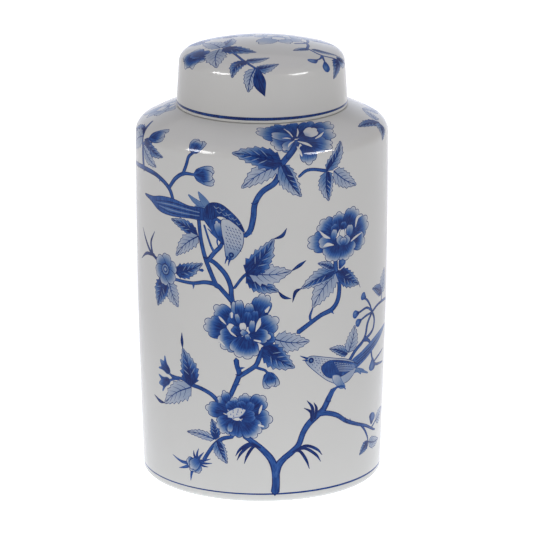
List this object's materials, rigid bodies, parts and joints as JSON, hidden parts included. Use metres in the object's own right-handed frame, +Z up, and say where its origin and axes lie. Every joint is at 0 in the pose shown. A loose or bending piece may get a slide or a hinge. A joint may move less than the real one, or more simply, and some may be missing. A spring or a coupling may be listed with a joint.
{
  "type": "lidded jar",
  "caption": "Tall round glazed ceramic jar with a rounded shoulder, a short collar and a domed lift-off cap lid, painted in blue with branches, blossoms, leaves and birds.",
  "frame": {"origin": "centre of the standing ring, on the surface that the jar stands on", "axes": "+Z up along the jar's axis; -Y towards the side with the large bird and the peonies"},
  "size_m": [0.17, 0.17, 0.3],
  "materials": {
    "painted_glaze": "glossy clear glaze over a hand-painted cobalt blue pattern on white; bare clay on the foot ring, the lid's seat and the lid's rim"
  },
  "bodies": {
    "jar": {"jar": "painted_glaze"},
    "lid": {"lid": "painted_glaze"}
  },
  "joints": [
    {"name": "lid_lift", "type": "slide", "parent": "jar", "child": "lid", "axis": [0, 0, 1], "range_m": [0, 0.1]}
  ]
}
